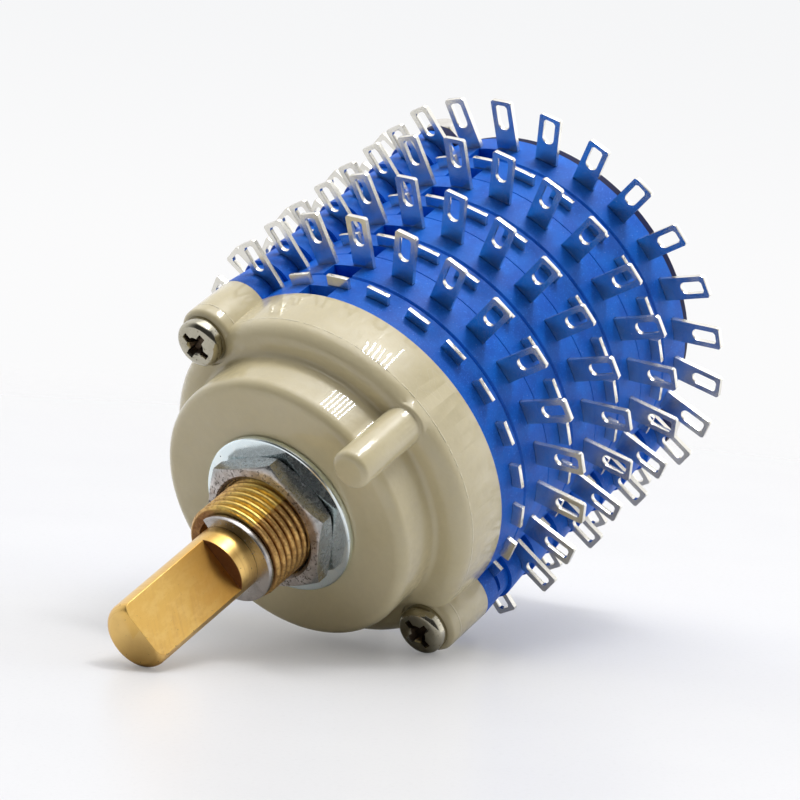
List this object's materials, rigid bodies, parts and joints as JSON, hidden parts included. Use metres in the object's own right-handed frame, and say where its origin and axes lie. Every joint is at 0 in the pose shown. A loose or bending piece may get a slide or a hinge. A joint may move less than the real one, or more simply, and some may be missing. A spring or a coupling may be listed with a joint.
{
  "type": "rotary switch",
  "caption": "Panel-mounted rotary switch: ivory housing with a threaded brass bushing, D shaft and locating pin, and a stack of blue decks ringed with solder lugs.",
  "frame": {"origin": "middle of the boss face that meets the panel, on the shaft's axis", "axes": "+Z along the shaft towards its tip, X through the two ears with the through screws, -Y towards the locating pin"},
  "size_m": [0.0398, 0.0398, 0.0637],
  "materials": {
    "ivory_moulding": "glossy moulded, faint handling marks",
    "blue_moulding": "semi-matte moulded, finely speckled",
    "brass": "turned, brushed flat",
    "zinc": "bright zinc plate",
    "nut_steel": "plated steel, dull",
    "clip_steel": "bright spring steel",
    "lug_plate": "silver plated sheet",
    "nickel": "nickel plated, polished",
    "ball_steel": "polished steel",
    "spring_steel": "drawn wire",
    "bronze": "rolled spring strip",
    "carrier_moulding": "dark moulded",
    "rotor_moulding": "pale moulded",
    "plate_laminate": "dark laminate"
  },
  "bodies": {
    "stator": {"housing": "ivory_moulding", "bushing": "brass", "panel_washer": "zinc", "panel_nut": "nut_steel", "detent_ring": "nut_steel", "front_wafer_1": "blue_moulding", "front_wafer_2": "blue_moulding", "front_wafer_3": "blue_moulding", "front_wafer_4": "blue_moulding", "rear_wafer_1": "blue_moulding", "rear_wafer_2": "blue_moulding", "rear_wafer_3": "blue_moulding", "rear_wafer_4": "blue_moulding", "collector_1": "lug_plate", "collector_2": "lug_plate", "collector_3": "lug_plate", "collector_4": "lug_plate", "contacts_1": "lug_plate", "contacts_2": "lug_plate", "contacts_3": "lug_plate", "contacts_4": "lug_plate", "end_plate": "plate_laminate", "deck_screws": "nickel", "screw_nuts": "nickel"},
    "rotor": {"shaft": "brass", "shaft_clip": "clip_steel", "detent_carrier": "carrier_moulding", "detent_springs": "spring_steel", "rotor_1": "rotor_moulding", "rotor_2": "rotor_moulding", "rotor_3": "rotor_moulding", "rotor_4": "rotor_moulding", "wiper_1": "bronze", "wiper_2": "bronze", "wiper_3": "bronze", "wiper_4": "bronze"},
    "ball_a": {"detent_ball_a": "ball_steel"},
    "ball_b": {"detent_ball_b": "ball_steel"}
  },
  "joints": [
    {"name": "shaft_turn", "type": "hinge", "parent": "stator", "child": "rotor", "pos_m": [0, 0, 0], "axis": [0, 0, 1], "range_deg": [-165, 180]},
    {"name": "ball_a_slide", "type": "slide", "parent": "rotor", "child": "ball_a", "axis": [1, 0, 0], "range_m": [0, 0.0003]},
    {"name": "ball_b_slide", "type": "slide", "parent": "rotor", "child": "ball_b", "axis": [-1, 0, 0], "range_m": [0, 0.0003]}
  ]
}
